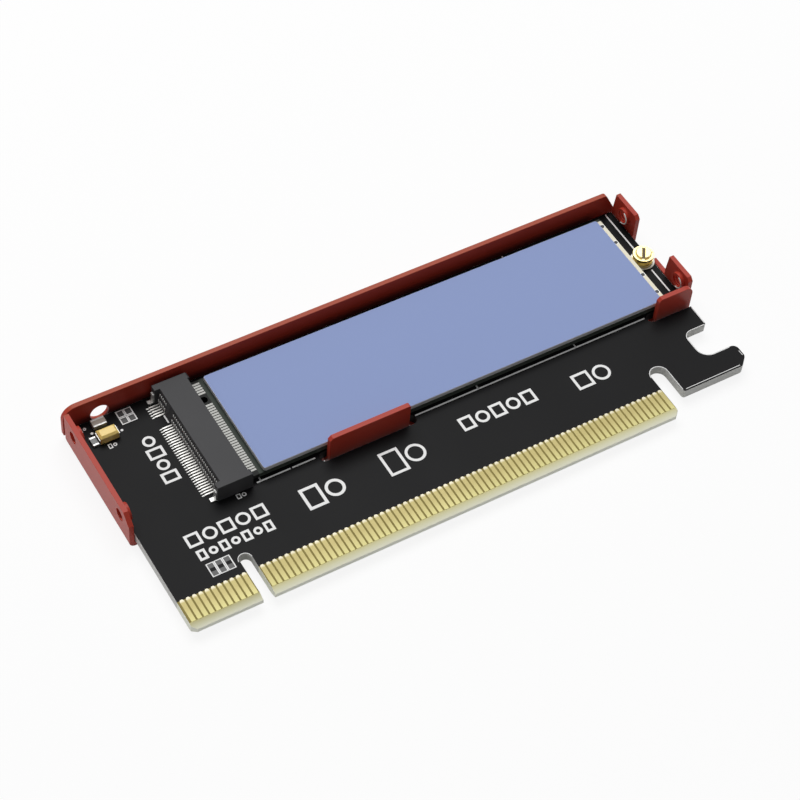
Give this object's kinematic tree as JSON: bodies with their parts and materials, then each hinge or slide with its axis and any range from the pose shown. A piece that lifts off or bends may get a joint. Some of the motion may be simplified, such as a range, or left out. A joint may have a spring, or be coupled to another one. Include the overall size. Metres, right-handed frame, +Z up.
{
  "type": "nvme adapter card",
  "caption": "Long black adapter card with a gold edge connector and end hook, carrying a flat drive module under a thermal pad, lying in a folded red sheet tray.",
  "frame": {"origin": "under the middle of the whole card, on the plane it rests on", "axes": "+X along the card from its plain end to its hook, +Y from the edge connector to the back wall, +Z up out of the tray"},
  "size_m": [0.101, 0.0418, 0.0066],
  "materials": {
    "tray_paint": "satin red powder paint on folded sheet",
    "board_mask": "satin black solder mask over glass laminate",
    "contact_gold": "gold plated, smooth",
    "solder_tin": "bright tin, slightly uneven",
    "socket_plastic": "moulded, fine matt grain",
    "terminal_metal": "plated spring strip",
    "module_laminate": "routed laminate edge",
    "finger_gold": "thin gold plating",
    "chip_resin": "moulded epoxy",
    "pad_silicone": "soft filled silicone, matt",
    "post_brass": "turned",
    "screw_brass": "turned, slotted",
    "capacitor_yellow": "moulded case, slight sheen",
    "ceramic_body": "fired ceramic",
    "resistor_glaze": "glazed top",
    "printed_ink": "screen printed ink, matt"
  },
  "bodies": {
    "root": {"sheet_tray": "tray_paint", "circuit_board": "board_mask", "edge_contacts_top": "contact_gold", "edge_contacts_bottom": "contact_gold", "spare_pads": "solder_tin", "socket_housing": "socket_plastic", "socket_rear_contacts": "terminal_metal", "socket_front_contacts": "terminal_metal", "socket_hold_downs": "solder_tin", "module_board": "module_laminate", "module_fingers_top": "finger_gold", "module_fingers_bottom": "finger_gold", "module_end_plating": "finger_gold", "module_power_chip": "chip_resin", "module_controller": "chip_resin", "module_memory_chip": "chip_resin", "module_flash_chips": "chip_resin", "module_capacitors": "ceramic_body", "thermal_pad": "pad_silicone", "standoff": "post_brass", "standoff_screw": "screw_brass", "tantalum_capacitor_body": "capacitor_yellow", "tantalum_capacitor_terminals": "solder_tin", "ceramic_capacitor_body": "ceramic_body", "ceramic_capacitor_ends": "solder_tin", "chip_resistor_body": "resistor_glaze", "chip_resistor_ends": "solder_tin"}
  },
  "joints": []
}
